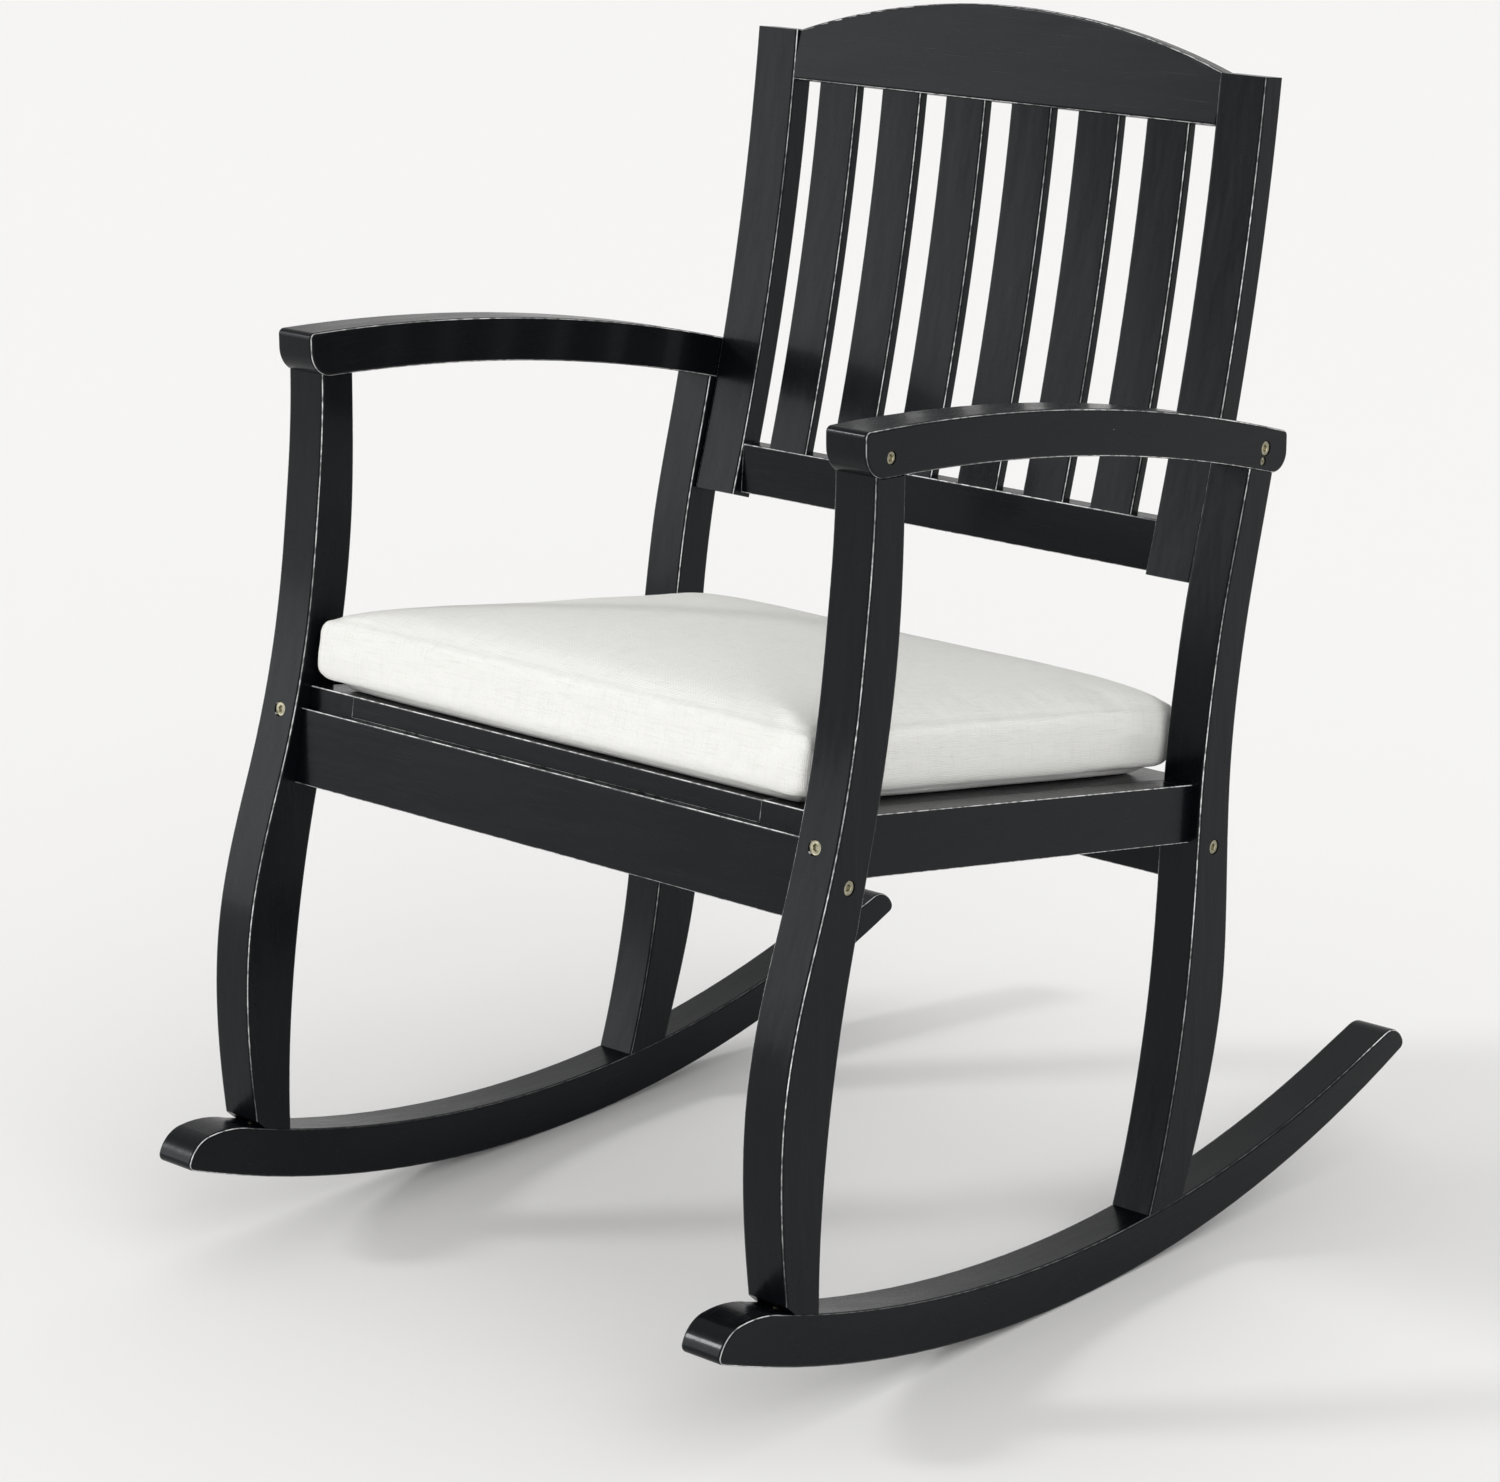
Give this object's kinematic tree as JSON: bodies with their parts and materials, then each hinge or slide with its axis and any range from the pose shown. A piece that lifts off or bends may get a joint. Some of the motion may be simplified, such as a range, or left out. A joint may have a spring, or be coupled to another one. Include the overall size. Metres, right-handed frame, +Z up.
{
  "type": "outdoor rocking chair",
  "caption": "Slatted wooden rocking chair with curved legs, arched armrests and a loose seat cushion.",
  "frame": {"origin": "on the floor, at the centre of the chair's footprint, half way between the runners and half way between their tips", "axes": "+Z up, -Y the way the sitter faces, +X the sitter's left, across the runners"},
  "size_m": [0.62, 0.8865, 0.9817],
  "materials": {
    "black_paint": "satin black paint over hardwood",
    "plain_dowel": "unpainted beech, hidden",
    "zinc_hardware": "zinc plated steel",
    "cushion_linen": "off-white slub linen weave over a foam and fibre pad"
  },
  "bodies": {
    "chair": {"arm_front_bolts": "zinc_hardware", "arm_front_dowels": "plain_dowel", "arm_rear_bolts": "zinc_hardware", "arm_rear_dowels": "plain_dowel", "arm_rear_screws": "zinc_hardware", "armrest_left": "black_paint", "armrest_right": "black_paint", "back_bottom_rail": "black_paint", "back_dowels": "plain_dowel", "back_slat_1": "black_paint", "back_slat_2": "black_paint", "back_slat_3": "black_paint", "back_slat_4": "black_paint", "back_slat_5": "black_paint", "back_slat_6": "black_paint", "back_stile_left": "black_paint", "back_stile_right": "black_paint", "cleat_screws": "zinc_hardware", "crest_rail": "black_paint", "foot_bolts": "zinc_hardware", "foot_dowels": "plain_dowel", "foot_inserts": "zinc_hardware", "front_leg_left": "black_paint", "front_leg_right": "black_paint", "front_rail": "black_paint", "front_rail_bolts": "zinc_hardware", "rail_barrel_nuts": "zinc_hardware", "rail_dowels": "plain_dowel", "rear_leg_left": "black_paint", "rear_leg_right": "black_paint", "rear_rail": "black_paint", "rear_rail_bolts": "zinc_hardware", "runner_left": "black_paint", "runner_right": "black_paint", "seat_cleat_left": "black_paint", "seat_cleat_right": "black_paint", "seat_dowels": "plain_dowel", "seat_front_board": "black_paint", "seat_rear_board": "black_paint", "seat_screws": "zinc_hardware", "seat_side_left": "black_paint", "seat_side_right": "black_paint", "seat_slat_1": "black_paint", "seat_slat_2": "black_paint", "seat_slat_3": "black_paint", "seat_slat_4": "black_paint", "seat_slat_5": "black_paint", "side_rail_front_bolts": "zinc_hardware", "side_rail_left": "black_paint", "side_rail_rear_bolts": "zinc_hardware", "side_rail_right": "black_paint", "stile_dowels": "plain_dowel", "stile_inserts": "zinc_hardware"},
    "cushion": {"cushion": "cushion_linen"}
  },
  "joints": [
    {"name": "cushion_lift", "type": "slide", "parent": "chair", "child": "cushion", "axis": [0, 0, 1], "range_m": [0, 0.6]}
  ]
}
